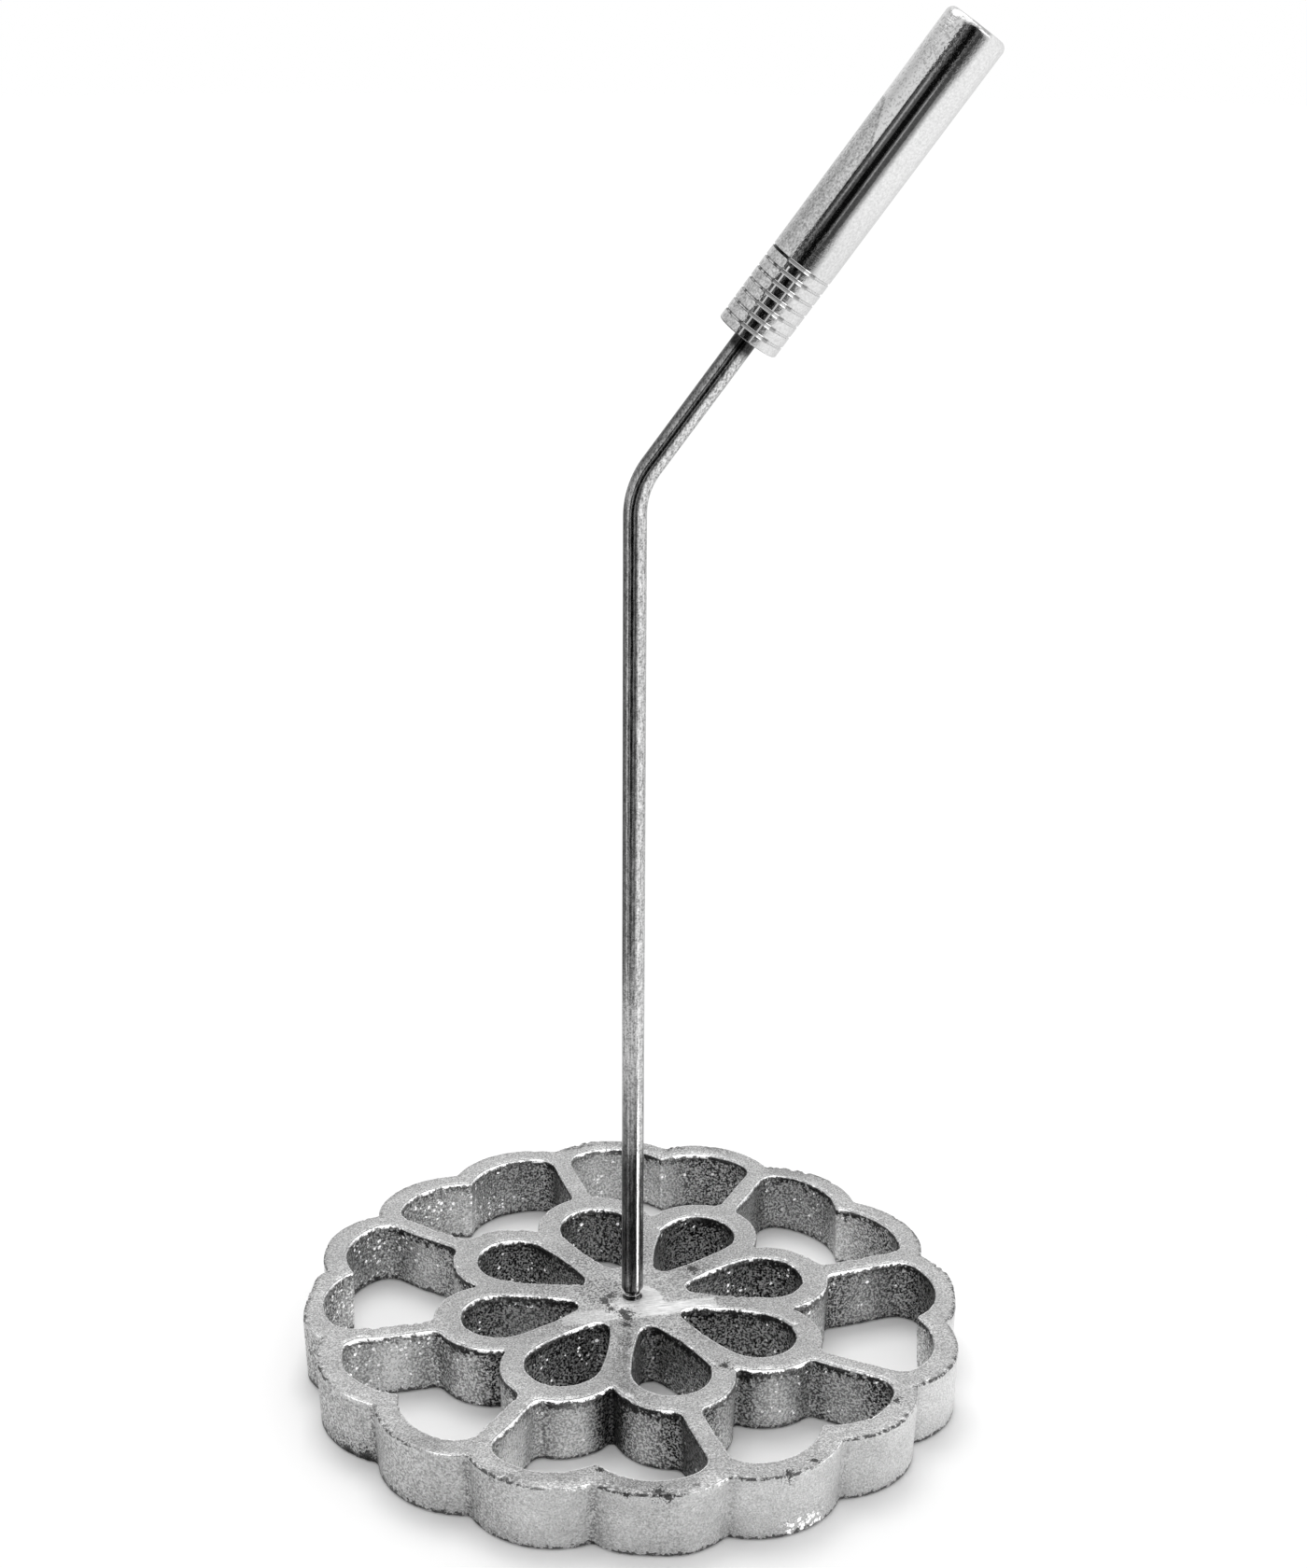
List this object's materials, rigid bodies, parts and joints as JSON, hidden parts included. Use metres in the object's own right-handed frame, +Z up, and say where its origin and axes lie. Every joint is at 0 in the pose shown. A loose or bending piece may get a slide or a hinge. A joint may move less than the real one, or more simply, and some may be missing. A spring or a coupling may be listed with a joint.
{
  "type": "rosette iron",
  "caption": "Pastry frying iron: an open cast flower mould with a scalloped rim, screwed onto a bent steel rod with a grooved metal handle.",
  "frame": {"origin": "middle of the mould's flat underside, on the axis of the rod's upright stretch", "axes": "+Z up along the rod's upright stretch, +X the way the rod bends towards the handle"},
  "size_m": [0.1516, 0.1516, 0.3029],
  "materials": {
    "cast_aluminium": "sand cast, lightly fettled",
    "polished_steel": "polished",
    "turned_aluminium": "turned and polished"
  },
  "bodies": {
    "mould": {"rosette_mould": "cast_aluminium"},
    "thread": {"threaded_end": "polished_steel"},
    "rod": {"rod": "polished_steel", "handle": "turned_aluminium"}
  },
  "joints": [
    {"name": "rod_lift", "type": "slide", "parent": "mould", "child": "thread", "axis": [0, 0, 1], "range_m": [0, 0.00805]},
    {"name": "rod_unscrew", "type": "hinge", "parent": "thread", "child": "rod", "pos_m": [0, 0, 0.0176], "axis": [0, 0, 1], "range_deg": [0, 4140]}
  ],
  "couplings": [
    {"joint": "rod_lift", "follows": "rod_unscrew", "m_per_rad": 0.00011141}
  ]
}
